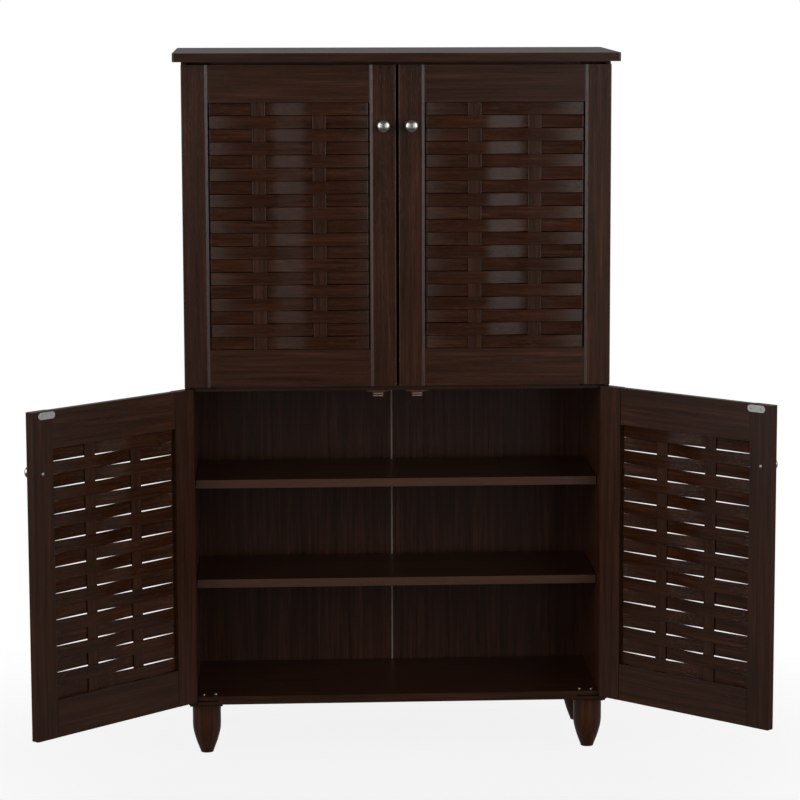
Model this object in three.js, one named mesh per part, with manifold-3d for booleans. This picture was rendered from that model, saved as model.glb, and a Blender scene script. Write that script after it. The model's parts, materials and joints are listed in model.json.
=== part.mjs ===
// A four-door shoe cabinet on turned legs: two doors above, two below, each door a frame of stiles
// and rails round a panel woven from wooden slats. Millimetres, +Z up.
// While it is built, X = 0 is the centre line, Y = 0 the front edges of the side panels (+Y is
// towards the back) and Z = 0 the floor. The last lines move the origin to the middle of the footprint.
import * as THREE from 'three';
import { mergeVertices } from 'three/addons/utils/BufferGeometryUtils.js';
import Module from 'manifold-3d';

const wasm = await Module();
wasm.setup();

// Gap between pieces that touch, how far a cutter runs past the face it opens, and the distance
// within which corners are one.
const FIT = 0.3;
const CUT_PAST = 1;
const CORNER_MERGE = 1e-4;

// Carcass.
const TOTAL_HEIGHT = 1240;
const BODY_WIDTH = 740;
const CARCASS_DEPTH = 285;
const BOARD = 15;
const BODY_CLEARANCE = 95;

// Top board and the stretcher that it is screwed to.
const TOP_SIDE_OVERHANG = 14;
const TOP_FRONT_OVERHANG = 38;
const TOP_BACK_OVERHANG = 2;
const TOP_CORNER_RADIUS = 4;
const STRETCHER_THICKNESS = 10;
const STRETCHER_DEPTH = 60;

// Back panels and the strip that joins them.
const BACK_THICKNESS = 4;
const BACK_INSET = 6;
const BACK_GROOVE_DEPTH = 6;
const STRIP_CAP_WIDTH = 3.2;
const STRIP_CAP_THICKNESS = 1.2;
const STRIP_WEB = 1.2;

// Shelves, two in each compartment.
const SHELVES_PER_BAY = 2;
const SHELF_PITCH = 178.5;
const SHELF_SETBACK = 41;
const SHELF_BACK_GAP = 23;
const SHELF_END_GAP = 1;

// Legs.
const LEG_SIDE_INSET = 30;
const LEG_FRONT_INSET = 43;
const LEG_BACK_INSET = 53;
const LEG_RADIUS = 25;
const LEG_TIP_RADIUS = 11.5;
const LEG_SHOULDER = 50.4;
const LEG_SWELL = 0.75;
const LEG_TAPER_STEPS = 5;
const LEG_SEGMENTS = 20;
const LEG_PLATE_SIDE = 58;
const LEG_PLATE_THICKNESS = 6;

// Doors.
const DOOR_THICKNESS = 16;
const DOOR_SWING_CLEARANCE = 0.8;
const DOOR_CENTRE_GAP = 4.4;
const DOOR_STACK_GAP = 3.5;
const DOOR_TOP_REVEAL = 5.5;
const DOOR_BOTTOM_REVEAL = 8;
const STILE_WIDTH = 45;
const STILE_EDGE_RADIUS = 2;
const MOULDING_WIDTH = 5;
const RAIL_SETBACK = 3;
const TOP_RAIL_HEIGHT = 64.5;
const BOTTOM_RAIL_HEIGHT = 65;
const RAIL_GROOVE_DEPTH = 8;
const LOWER_DOOR_REST_ANGLE = 135;

// Woven panel of each door.
const SLAT_COUNT = 19;
const SLAT_THICKNESS = 3;
const SLAT_GAP = 0.7;
const SLAT_END_GAP = 1.2;
const BATTEN_WIDTH = 23;
const BATTEN_THICKNESS = 3;
const BATTEN_INSET = 87;
const WEAVE_BITE = 0.1;
const SLAT_END_FLAT = 4;

// Pivot hinges.
const PIVOT_INSET = 6;
const PIN_RADIUS = 2.5;
const PIN_REACH = 10;
const PIN_END_GAP = 1;
const PIN_SEGMENTS = 12;
const PLATE_THICKNESS = 2;
const PLATE_LENGTH = 46;
const PLATE_REACH = 24;
const PLATE_TONGUE_HALF = 5.5;
const PLATE_FRONT_INSET = 5;
const SIDE_SKIN = 8.5;

// Knobs, magnetic catches and their strike plates.
const KNOB_RADIUS = 11;
const KNOB_FOOT_RADIUS = 6.9;
const KNOB_FOOT_HEIGHT = 1.8;
const KNOB_NECK_RADIUS = 5.5;
const KNOB_NECK_HEIGHT = 9.5;
const KNOB_RIM_HEIGHT = 14.5;
const KNOB_PROJECTION = 22;
const KNOB_EDGE_INSET = 22;
const KNOB_DROP = 104.5;
const KNOB_CROWN_STEPS = 2;
const KNOB_SEGMENTS = 16;
const KNOB_THREAD_DEPTH = 9;
const SCREW_RADIUS = 2;
const SCREW_HEAD_RADIUS = 3.3;
const SCREW_HEAD_HEIGHT = 2;
const STRIKE_LENGTH = 36;
const STRIKE_HEIGHT = 12;
const STRIKE_THICKNESS = 1;
const STRIKE_END_RADIUS = 5.9;
const STRIKE_DROP = 7.5;
const STRIKE_HOLE_RADIUS = 1.6;
const STRIKE_HOLE_SPACING = 20;
const CATCH_OFFSET = 34;
const CATCH_WIDTH = 42;
const CATCH_EAR_THICKNESS = 3;
const CATCH_BODY_WIDTH = 19;
const CATCH_HEIGHT = 11.5;
const CATCH_DEPTH = 24;

// Sizes that follow from the ones above.
const HALF_WIDTH = BODY_WIDTH / 2;
const INNER_HALF = HALF_WIDTH - BOARD;
const TOP_UNDERSIDE = TOTAL_HEIGHT - BOARD;
const BACK_REAR_FACE = CARCASS_DEPTH - BACK_INSET;
const BACK_FRONT_FACE = BACK_REAR_FACE - BACK_THICKNESS;
const BOTTOM_BOARD_TOP = BODY_CLEARANCE + BOARD;
const DOOR_WIDTH = (BODY_WIDTH - DOOR_CENTRE_GAP) / 2;
const LOWER_DOOR_FOOT = BODY_CLEARANCE + DOOR_BOTTOM_REVEAL;
const DOOR_HEIGHT = (TOP_UNDERSIDE - DOOR_TOP_REVEAL - LOWER_DOOR_FOOT - DOOR_STACK_GAP) / 2;
const UPPER_DOOR_FOOT = LOWER_DOOR_FOOT + DOOR_HEIGHT + DOOR_STACK_GAP;
const STACK_GAP_CENTRE = UPPER_DOOR_FOOT - DOOR_STACK_GAP / 2;
const MIDDLE_BOARD_TOP = STACK_GAP_CENTRE + BOARD / 2;
const MIDDLE_BOARD_UNDERSIDE = MIDDLE_BOARD_TOP - BOARD;
const STRETCHER_UNDERSIDE = TOP_UNDERSIDE - STRETCHER_THICKNESS;
const HALF_THICKNESS = DOOR_THICKNESS / 2;
const PIVOT_X = HALF_WIDTH - PIVOT_INSET;
// The hinge stile's rounded back corner swings past the carcass on this radius.
const SWING_RADIUS = STILE_EDGE_RADIUS
    + Math.hypot(PIVOT_INSET - STILE_EDGE_RADIUS, HALF_THICKNESS - STILE_EDGE_RADIUS);
const PIVOT_Y = -SWING_RADIUS - DOOR_SWING_CLEARANCE;
const OPENING_WIDTH = DOOR_WIDTH - 2 * STILE_WIDTH;
const OPENING_HEIGHT = DOOR_HEIGHT - TOP_RAIL_HEIGHT - BOTTOM_RAIL_HEIGHT;
const PLATE_GAP = (DOOR_STACK_GAP - PLATE_THICKNESS) / 2;

// Materials.
const veneer = new THREE.MeshStandardMaterial({ color: 0x30201a, roughness: 0.45, metalness: 0 });
const foil = new THREE.MeshStandardMaterial({ color: 0x2a1c16, roughness: 0.55, metalness: 0 });
const turnedWood = new THREE.MeshStandardMaterial({ color: 0x34221a, roughness: 0.4, metalness: 0 });
const brownPlastic = new THREE.MeshStandardMaterial({ color: 0x3a281f, roughness: 0.5, metalness: 0 });
const steel = new THREE.MeshStandardMaterial({ color: 0xb9b9b6, roughness: 0.3, metalness: 1 });
const bronzedSteel = new THREE.MeshStandardMaterial({ color: 0x4a3c32, roughness: 0.35, metalness: 1 });
const polishedNickel = new THREE.MeshStandardMaterial({ color: 0xcfcdc8, roughness: 0.12, metalness: 1 });

// Shape helpers.
const AXES_FOR_X = new THREE.Matrix4().makeBasis(
    new THREE.Vector3(0, 1, 0), new THREE.Vector3(0, 0, 1), new THREE.Vector3(1, 0, 0));
const AXES_FOR_Y = new THREE.Matrix4().makeBasis(
    new THREE.Vector3(0, 0, 1), new THREE.Vector3(1, 0, 0), new THREE.Vector3(0, 1, 0));

function block(x0, x1, y0, y1, z0, z1) {
    const geometry = new THREE.BoxGeometry(x1 - x0, y1 - y0, z1 - z0);
    return geometry.translate((x0 + x1) / 2, (y0 + y1) / 2, (z0 + z1) / 2);
}

function alongZ(shape, z0, z1, curveSegments = 4) {
    const geometry = new THREE.ExtrudeGeometry(shape, { depth: z1 - z0, bevelEnabled: false, curveSegments });
    return geometry.translate(0, 0, z0);
}

// The outline is drawn in (Y, Z).
function alongX(shape, x0, x1, curveSegments = 4) {
    return alongZ(shape, x0, x1, curveSegments).applyMatrix4(AXES_FOR_X);
}

// The outline is drawn in (Z, X).
function alongY(shape, y0, y1, curveSegments = 4) {
    return alongZ(shape, y0, y1, curveSegments).applyMatrix4(AXES_FOR_Y);
}

function polygon(points) {
    return new THREE.Shape(points.map(([a, b]) => new THREE.Vector2(a, b)));
}

function roundedRectangle(a0, a1, b0, b1, radius) {
    const shape = new THREE.Shape();
    shape.moveTo(a0 + radius, b0);
    shape.lineTo(a1 - radius, b0);
    shape.absarc(a1 - radius, b0 + radius, radius, -Math.PI / 2, 0);
    shape.lineTo(a1, b1 - radius);
    shape.absarc(a1 - radius, b1 - radius, radius, 0, Math.PI / 2);
    shape.lineTo(a0 + radius, b1);
    shape.absarc(a0 + radius, b1 - radius, radius, Math.PI / 2, Math.PI);
    shape.lineTo(a0, b0 + radius);
    shape.absarc(a0 + radius, b0 + radius, radius, Math.PI, 1.5 * Math.PI);
    return shape;
}

// A round bar standing on (x, y) from z0 to z1.
function uprightRod(radius, x, y, z0, z1, segments = PIN_SEGMENTS) {
    const geometry = new THREE.CylinderGeometry(radius, radius, z1 - z0, segments);
    return geometry.rotateX(Math.PI / 2).translate(x, y, (z0 + z1) / 2);
}

// A round bar along Y through (x, z).
function crossRod(radius, x, z, y0, y1, segments = PIN_SEGMENTS) {
    const geometry = new THREE.CylinderGeometry(radius, radius, y1 - y0, segments);
    return geometry.translate(x, (y0 + y1) / 2, z);
}

function toSolid(geometry) {
    const bare = geometry.clone();
    bare.deleteAttribute('normal');
    bare.deleteAttribute('uv');
    const merged = mergeVertices(bare, CORNER_MERGE);
    const vertProperties = new Float32Array(merged.attributes.position.array);
    const triVerts = new Uint32Array(merged.index.array);
    return new wasm.Manifold(new wasm.Mesh({ numProp: 3, vertProperties, triVerts }));
}

function toGeometry(solid) {
    const mesh = solid.getMesh();
    const geometry = new THREE.BufferGeometry();
    geometry.setAttribute('position', new THREE.BufferAttribute(mesh.vertProperties, 3));
    geometry.setIndex(new THREE.BufferAttribute(mesh.triVerts, 1));
    geometry.computeVertexNormals();
    return geometry;
}

function joined(geometries) {
    return toGeometry(geometries.map(toSolid).reduce((whole, piece) => whole.add(piece)));
}

function cut(geometry, cutters) {
    return toGeometry(cutters.map(toSolid).reduce((whole, cutter) => whole.subtract(cutter), toSolid(geometry)));
}

function place(group, name, geometry, material) {
    const mesh = new THREE.Mesh(geometry, material);
    mesh.name = name;
    group.add(mesh);
}

const SIDES = [
    { name: 'left', sign: -1 },
    { name: 'right', sign: 1 },
];

// weaveStart is 1 where the top slat goes behind the left batten, and -1 where it goes in front.
const DOORS = [
    { tier: 'upper', foot: UPPER_DOOR_FOOT, restAngle: 0, weaveStart: { left: 1, right: 1 } },
    {
        tier: 'lower',
        foot: LOWER_DOOR_FOOT,
        restAngle: LOWER_DOOR_REST_ANGLE,
        weaveStart: { left: 1, right: -1 },
    },
];

// Each level where a pivot plate is let into the carcass, and the ways its pins point.
const PLATE_LEVELS = [
    {
        name: 'top',
        underside: TOP_UNDERSIDE - DOOR_TOP_REVEAL + PLATE_GAP,
        pinsUp: false,
        pinsDown: true,
    },
    {
        name: 'middle',
        underside: STACK_GAP_CENTRE - PLATE_THICKNESS / 2,
        pinsUp: true,
        pinsDown: true,
    },
    {
        name: 'bottom',
        underside: LOWER_DOOR_FOOT - PLATE_GAP - PLATE_THICKNESS,
        pinsUp: true,
        pinsDown: false,
    },
];

const cabinet = new THREE.Group();

// The room that the pivot plates need in the side panel and in the board beside it.
function plateSlots(sign) {
    return PLATE_LEVELS.map(({ underside }) => {
        const outer = HALF_WIDTH - SIDE_SKIN;
        const inner = PIVOT_X - PLATE_LENGTH - FIT;
        const [x0, x1] = sign < 0 ? [-outer, -inner] : [inner, outer];
        return block(x0, x1, -CUT_PAST, PLATE_REACH + FIT, underside - FIT, underside + PLATE_THICKNESS + FIT);
    });
}

function topBoard() {
    const half = HALF_WIDTH + TOP_SIDE_OVERHANG;
    const outline = roundedRectangle(
        -half, half, -TOP_FRONT_OVERHANG, CARCASS_DEPTH + TOP_BACK_OVERHANG, TOP_CORNER_RADIUS);
    return alongZ(outline, TOP_UNDERSIDE, TOTAL_HEIGHT);
}

// A side panel has a groove for the back panel along its inner face.
function sidePanel(sign) {
    const grooveFloor = sign * (INNER_HALF + BACK_GROOVE_DEPTH);
    const inner = sign * INNER_HALF;
    const outer = sign * HALF_WIDTH;
    const outline = polygon([
        [outer, 0],
        [inner, 0],
        [inner, BACK_FRONT_FACE - FIT],
        [grooveFloor, BACK_FRONT_FACE - FIT],
        [grooveFloor, BACK_REAR_FACE + FIT],
        [inner, BACK_REAR_FACE + FIT],
        [inner, CARCASS_DEPTH],
        [outer, CARCASS_DEPTH],
    ]);
    return cut(alongZ(outline, BODY_CLEARANCE, TOP_UNDERSIDE - FIT), plateSlots(sign));
}

// A board between the side panels, slotted for the pivot plates that reach into it.
function crossBoard(depth, z0, z1) {
    const half = INNER_HALF - FIT;
    const slots = SIDES.flatMap(({ sign }) => plateSlots(sign));
    return cut(block(-half, half, 0, depth, z0, z1), slots);
}

function backPanel(sign) {
    const near = STRIP_WEB / 2 + FIT;
    const far = INNER_HALF + BACK_GROOVE_DEPTH - FIT;
    const [x0, x1] = sign < 0 ? [-far, -near] : [near, far];
    return block(x0, x1, BACK_FRONT_FACE, BACK_REAR_FACE, BODY_CLEARANCE, TOP_UNDERSIDE - FIT);
}

// A T-section strip: its cap covers the joint in front, its web stands between the two back panels.
function backJointStrip(z0, z1) {
    const capBack = BACK_FRONT_FACE - FIT;
    const capFront = capBack - STRIP_CAP_THICKNESS;
    const outline = polygon([
        [-STRIP_CAP_WIDTH / 2, capFront],
        [STRIP_CAP_WIDTH / 2, capFront],
        [STRIP_CAP_WIDTH / 2, capBack],
        [STRIP_WEB / 2, capBack],
        [STRIP_WEB / 2, BACK_REAR_FACE],
        [-STRIP_WEB / 2, BACK_REAR_FACE],
        [-STRIP_WEB / 2, capBack],
        [-STRIP_CAP_WIDTH / 2, capBack],
    ]);
    return alongZ(outline, z0, z1);
}

function addCarcass() {
    const boardDepth = BACK_FRONT_FACE - 2 * FIT - STRIP_CAP_THICKNESS;
    place(cabinet, 'top_board', topBoard(), veneer);
    for (const { name, sign } of SIDES) {
        place(cabinet, `side_panel_${name}`, sidePanel(sign), veneer);
        place(cabinet, `back_panel_${name}`, backPanel(sign), foil);
    }
    const stretcher = crossBoard(STRETCHER_DEPTH, STRETCHER_UNDERSIDE, TOP_UNDERSIDE - FIT);
    place(cabinet, 'top_stretcher', stretcher, foil);
    place(cabinet, 'middle_board', crossBoard(boardDepth, MIDDLE_BOARD_UNDERSIDE, MIDDLE_BOARD_TOP), foil);
    place(cabinet, 'bottom_board', crossBoard(boardDepth, BODY_CLEARANCE, BOTTOM_BOARD_TOP), foil);
    place(cabinet, 'back_joint_strip', backJointStrip(BODY_CLEARANCE, TOP_UNDERSIDE - FIT), brownPlastic);
}

function addShelves(tier, ceiling) {
    const half = INNER_HALF - SHELF_END_GAP;
    for (let step = 1; step <= SHELVES_PER_BAY; step++) {
        const top = ceiling - step * SHELF_PITCH + BOARD;
        const shelf = block(-half, half, SHELF_SETBACK, BACK_FRONT_FACE - SHELF_BACK_GAP, top - BOARD, top);
        place(cabinet, `shelf_${tier}_${step}`, shelf, foil);
    }
}

// A leg is straight to its shoulder and then tapers in a smooth curve to a small flat tip.
function leg(x, y) {
    const plateTop = BODY_CLEARANCE - FIT;
    const legTop = plateTop - LEG_PLATE_THICKNESS / 2;
    const profile = new THREE.Path();
    profile.moveTo(0, 0);
    profile.lineTo(LEG_TIP_RADIUS, 0);
    profile.bezierCurveTo(
        (LEG_TIP_RADIUS + LEG_RADIUS) / 2, LEG_SHOULDER / 2,
        LEG_RADIUS, LEG_SHOULDER * LEG_SWELL,
        LEG_RADIUS, LEG_SHOULDER);
    profile.lineTo(LEG_RADIUS, legTop);
    profile.lineTo(0, legTop);
    const turned = new THREE.LatheGeometry(profile.getPoints(LEG_TAPER_STEPS), LEG_SEGMENTS);
    turned.rotateX(Math.PI / 2).translate(x, y, 0);
    const half = LEG_PLATE_SIDE / 2;
    const plate = block(x - half, x + half, y - half, y + half, plateTop - LEG_PLATE_THICKNESS, plateTop);
    return joined([turned, plate]);
}

function addLegs() {
    const rows = [
        { name: 'front', y: LEG_FRONT_INSET },
        { name: 'rear', y: CARCASS_DEPTH - LEG_BACK_INSET },
    ];
    for (const { name, y } of rows) {
        for (const side of SIDES) {
            const x = side.sign * (HALF_WIDTH - LEG_SIDE_INSET);
            place(cabinet, `leg_${name}_${side.name}`, leg(x, y), turnedWood);
        }
    }
}

// A pivot plate lies in its slot in the board. Its tongue runs forward round the side panel's edge
// to the hinge axis, where the pins stand.
function pivotPlate(sign, { underside, pinsUp, pinsDown }) {
    const z0 = underside;
    const z1 = underside + PLATE_THICKNESS;
    const tongueOut = PIVOT_X + PLATE_TONGUE_HALF;
    const skinLine = HALF_WIDTH - SIDE_SKIN - FIT;
    const tongueIn = PIVOT_X - 2 * PLATE_TONGUE_HALF;
    const plateEnd = PIVOT_X - PLATE_LENGTH;
    const front = PIVOT_Y - PLATE_TONGUE_HALF;
    const outline = polygon([
        [sign * (PIVOT_X - PLATE_TONGUE_HALF / 2), front],
        [sign * (PIVOT_X + PLATE_TONGUE_HALF / 2), front],
        [sign * tongueOut, PIVOT_Y - PLATE_TONGUE_HALF / 2],
        [sign * tongueOut, PIVOT_Y + PLATE_TONGUE_HALF],
        [sign * skinLine, -FIT],
        [sign * skinLine, PLATE_REACH],
        [sign * plateEnd, PLATE_REACH],
        [sign * plateEnd, PLATE_FRONT_INSET],
        [sign * tongueIn, PLATE_FRONT_INSET],
        [sign * (PIVOT_X - PLATE_TONGUE_HALF), PIVOT_Y],
    ]);
    const pieces = [alongZ(outline, z0, z1)];
    const x = sign * PIVOT_X;
    const reach = PLATE_GAP + PIN_REACH;
    const overlap = PLATE_THICKNESS / 2;
    if (pinsUp) {
        pieces.push(uprightRod(PIN_RADIUS, x, PIVOT_Y, z1 - overlap, z1 + reach));
    }
    if (pinsDown) {
        pieces.push(uprightRod(PIN_RADIUS, x, PIVOT_Y, z0 - reach, z0 + overlap));
    }
    return joined(pieces);
}

function addPivotPlates() {
    for (const level of PLATE_LEVELS) {
        for (const { name, sign } of SIDES) {
            place(cabinet, `pivot_plate_${level.name}_${name}`, pivotPlate(sign, level), bronzedSteel);
        }
    }
}

// A catch housing: a block that holds the magnet between two screw ears.
function magneticCatch(x, ceiling) {
    const top = ceiling - FIT;
    const ear = top - CATCH_EAR_THICKNESS;
    const bottom = top - CATCH_HEIGHT;
    const outer = CATCH_WIDTH / 2;
    const inner = CATCH_BODY_WIDTH / 2;
    const outline = polygon([
        [top, x - outer],
        [top, x + outer],
        [ear, x + outer],
        [ear, x + inner],
        [bottom, x + inner],
        [bottom, x - inner],
        [ear, x - inner],
        [ear, x - outer],
    ]);
    return alongY(outline, FIT, FIT + CATCH_DEPTH);
}

function addCatches(tier, ceiling) {
    for (const { name, sign } of SIDES) {
        place(cabinet, `magnetic_catch_${tier}_${name}`, magneticCatch(sign * CATCH_OFFSET, ceiling), brownPlastic);
    }
}

// Door pieces are drawn closed, round the hinge axis: Y = 0 is the middle of the door's thickness,
// -Y its outside, and Z = 0 its bottom edge. toward is +1 where the door reaches to +X.

// A stile's section, with rounded outer corners and a slope down to the rails on the outside.
function stileSection(outerEdge, openingEdge) {
    const way = Math.sign(openingEdge - outerEdge);
    const centre = outerEdge + way * STILE_EDGE_RADIUS;
    const inset = HALF_THICKNESS - STILE_EDGE_RADIUS;
    const outward = way > 0 ? Math.PI : 0;
    const section = new THREE.Shape();
    section.moveTo(openingEdge, HALF_THICKNESS);
    section.lineTo(centre, HALF_THICKNESS);
    section.absarc(centre, inset, STILE_EDGE_RADIUS, Math.PI / 2, outward, way < 0);
    section.absarc(centre, -inset, STILE_EDGE_RADIUS, outward, outward + way * Math.PI / 2, way < 0);
    section.lineTo(openingEdge - way * MOULDING_WIDTH, -HALF_THICKNESS);
    section.lineTo(openingEdge, -HALF_THICKNESS + RAIL_SETBACK);
    return section;
}

function hingeStile(toward) {
    const outer = -toward * PIVOT_INSET;
    const section = stileSection(outer, outer + toward * STILE_WIDTH);
    const bore = PIN_RADIUS + FIT;
    const depth = PIN_REACH + PIN_END_GAP;
    return cut(alongZ(section, 0, DOOR_HEIGHT), [
        uprightRod(bore, 0, 0, -CUT_PAST, depth),
        uprightRod(bore, 0, 0, DOOR_HEIGHT - depth, DOOR_HEIGHT + CUT_PAST),
    ]);
}

function knobPlace(toward) {
    return {
        x: toward * (DOOR_WIDTH - PIVOT_INSET - KNOB_EDGE_INSET),
        z: DOOR_HEIGHT - KNOB_DROP,
    };
}

function freeStile(toward) {
    const outer = toward * (DOOR_WIDTH - PIVOT_INSET);
    const section = stileSection(outer, outer - toward * STILE_WIDTH);
    const { x, z } = knobPlace(toward);
    const bore = crossRod(SCREW_RADIUS + FIT, x, z, -DOOR_THICKNESS, DOOR_THICKNESS);
    return cut(alongZ(section, 0, DOOR_HEIGHT), [bore]);
}

// The opening's edge nearer to the hinge, and the one nearer to the free edge.
function openingEdges(toward) {
    const hinge = toward * (STILE_WIDTH - PIVOT_INSET);
    return { hinge, free: hinge + toward * OPENING_WIDTH };
}

// A rail lies between the stiles, set back from their outer face, with a groove for the battens.
function rail(toward, z0, z1, grooveAtTop) {
    const { hinge, free } = openingEdges(toward);
    const x0 = Math.min(hinge, free) + FIT;
    const x1 = Math.max(hinge, free) - FIT;
    const halfGroove = BATTEN_THICKNESS / 2 + FIT;
    const front = -HALF_THICKNESS + RAIL_SETBACK;
    const lip = grooveAtTop ? z1 : z0;
    const floor = grooveAtTop ? z1 - RAIL_GROOVE_DEPTH : z0 + RAIL_GROOVE_DEPTH;
    const base = grooveAtTop ? z0 : z1;
    const outline = polygon([
        [front, base],
        [HALF_THICKNESS, base],
        [HALF_THICKNESS, lip],
        [halfGroove, lip],
        [halfGroove, floor],
        [-halfGroove, floor],
        [-halfGroove, lip],
        [front, lip],
    ]);
    return alongX(outline, x0, x1);
}

// Both battens' centres, from the hinge axis, left one first as seen from outside.
function battenCentres(toward) {
    const { hinge, free } = openingEdges(toward);
    const left = Math.min(hinge, free);
    return [left + BATTEN_INSET, left + OPENING_WIDTH - BATTEN_INSET];
}

// A slat runs from end to end of the opening, behind one batten and in front of the other.
// The rows take turns, and weaveStart says how the top one starts.
function slat(toward, row, weaveStart) {
    const { hinge, free } = openingEdges(toward);
    const left = Math.min(hinge, free) + SLAT_END_GAP;
    const right = Math.max(hinge, free) - SLAT_END_GAP;
    const offset = (BATTEN_THICKNESS + SLAT_THICKNESS) / 2 - WEAVE_BITE;
    const half = BATTEN_WIDTH / 2;
    const behindFirst = row % 2 === 0 ? weaveStart : -weaveStart;
    const path = [[left, 0], [left + SLAT_END_FLAT, 0]];
    battenCentres(toward).forEach((centre, order) => {
        const depth = offset * (order === 0 ? behindFirst : -behindFirst);
        path.push([centre - half, depth], [centre + half, depth]);
    });
    path.push([right - SLAT_END_FLAT, 0], [right, 0]);
    const back = path.map(([x, y]) => [x, y + SLAT_THICKNESS / 2]);
    const front = path.map(([x, y]) => [x, y - SLAT_THICKNESS / 2]).reverse();
    const pitch = OPENING_HEIGHT / SLAT_COUNT;
    const z1 = DOOR_HEIGHT - TOP_RAIL_HEIGHT - row * pitch - SLAT_GAP / 2;
    return alongZ(polygon([...back, ...front]), z1 - pitch + SLAT_GAP, z1);
}

function wovenPanel(toward, weaveStart) {
    const half = BATTEN_WIDTH / 2;
    const tenon = RAIL_GROOVE_DEPTH - FIT;
    const z0 = BOTTOM_RAIL_HEIGHT - tenon;
    const z1 = DOOR_HEIGHT - TOP_RAIL_HEIGHT + tenon;
    const battens = battenCentres(toward).map((x) =>
        block(x - half, x + half, -BATTEN_THICKNESS / 2, BATTEN_THICKNESS / 2, z0, z1));
    const slats = Array.from({ length: SLAT_COUNT }, (_, row) => slat(toward, row, weaveStart));
    return joined([...battens, ...slats]);
}

// A round knob on a short neck, with a blind hole for its screw.
function knob(toward) {
    const { x, z } = knobPlace(toward);
    const profile = new THREE.Path();
    profile.moveTo(0, 0);
    profile.lineTo(KNOB_FOOT_RADIUS, 0);
    profile.lineTo(KNOB_FOOT_RADIUS, KNOB_FOOT_HEIGHT);
    profile.lineTo(KNOB_NECK_RADIUS, KNOB_FOOT_HEIGHT);
    profile.lineTo(KNOB_NECK_RADIUS, KNOB_NECK_HEIGHT);
    profile.lineTo(KNOB_RADIUS, KNOB_RIM_HEIGHT);
    profile.absellipse(0, KNOB_RIM_HEIGHT, KNOB_RADIUS, KNOB_PROJECTION - KNOB_RIM_HEIGHT, 0, Math.PI / 2);
    const base = -HALF_THICKNESS - FIT;
    const turned = new THREE.LatheGeometry(profile.getPoints(KNOB_CROWN_STEPS), KNOB_SEGMENTS);
    turned.rotateX(Math.PI).translate(x, base, z);
    const thread = crossRod(SCREW_RADIUS + FIT, x, z, base - KNOB_THREAD_DEPTH - FIT, base + CUT_PAST);
    return cut(turned, [thread]);
}

function knobScrew(toward) {
    const { x, z } = knobPlace(toward);
    const seat = HALF_THICKNESS + FIT;
    const tip = -HALF_THICKNESS - FIT - KNOB_THREAD_DEPTH;
    return joined([
        crossRod(SCREW_RADIUS, x, z, tip, seat + SCREW_HEAD_HEIGHT / 2),
        crossRod(SCREW_HEAD_RADIUS, x, z, seat, seat + SCREW_HEAD_HEIGHT),
    ]);
}

// The catch's magnet meets this plate on the inside of the door, near its top free corner.
function strikePlate(toward) {
    const x = toward * (PIVOT_X - CATCH_OFFSET);
    const z = DOOR_HEIGHT - STRIKE_DROP;
    const half = STRIKE_HEIGHT / 2;
    const reach = STRIKE_LENGTH / 2;
    const outline = roundedRectangle(z - half, z + half, x - reach, x + reach, STRIKE_END_RADIUS);
    for (const side of [-1, 1]) {
        const hole = new THREE.Path();
        hole.absarc(z, x + side * STRIKE_HOLE_SPACING / 2, STRIKE_HOLE_RADIUS, 0, 2 * Math.PI);
        outline.holes.push(hole);
    }
    const y0 = HALF_THICKNESS + FIT;
    return alongY(outline, y0, y0 + STRIKE_THICKNESS);
}

function addDoor({ tier, foot, restAngle, weaveStart }, side) {
    const toward = -side.sign;
    const door = new THREE.Group();
    door.position.set(side.sign * PIVOT_X, PIVOT_Y, foot);
    door.rotation.z = THREE.MathUtils.degToRad(side.sign * restAngle);
    const tag = `${tier}_${side.name}`;
    place(door, `stile_hinge_${tag}`, hingeStile(toward), veneer);
    place(door, `stile_free_${tag}`, freeStile(toward), veneer);
    place(door, `rail_top_${tag}`, rail(toward, DOOR_HEIGHT - TOP_RAIL_HEIGHT, DOOR_HEIGHT, false), veneer);
    place(door, `rail_bottom_${tag}`, rail(toward, 0, BOTTOM_RAIL_HEIGHT, true), veneer);
    place(door, `woven_panel_${tag}`, wovenPanel(toward, weaveStart[side.name]), veneer);
    place(door, `knob_${tag}`, knob(toward), polishedNickel);
    place(door, `knob_screw_${tag}`, knobScrew(toward), steel);
    place(door, `strike_plate_${tag}`, strikePlate(toward), steel);
    cabinet.add(door);
}

addCarcass();
addShelves('upper', STRETCHER_UNDERSIDE);
addShelves('lower', MIDDLE_BOARD_UNDERSIDE);
addLegs();
addPivotPlates();
addCatches('upper', STRETCHER_UNDERSIDE);
addCatches('lower', MIDDLE_BOARD_UNDERSIDE);
for (const door of DOORS) {
    for (const side of SIDES) {
        addDoor(door, side);
    }
}

// The origin is the middle of the footprint, on the floor.
cabinet.updateMatrixWorld(true);
const footprint = new THREE.Box3().setFromObject(cabinet, true).getCenter(new THREE.Vector3());
cabinet.position.set(-footprint.x, -footprint.y, 0);

export default cabinet;
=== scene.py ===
"""Looks of the four-door shoe cabinet: veneered boards, framed doors with woven slats, metal fittings."""

import json
import math

import bmesh
import bpy
from mathutils import Matrix, Vector


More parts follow.
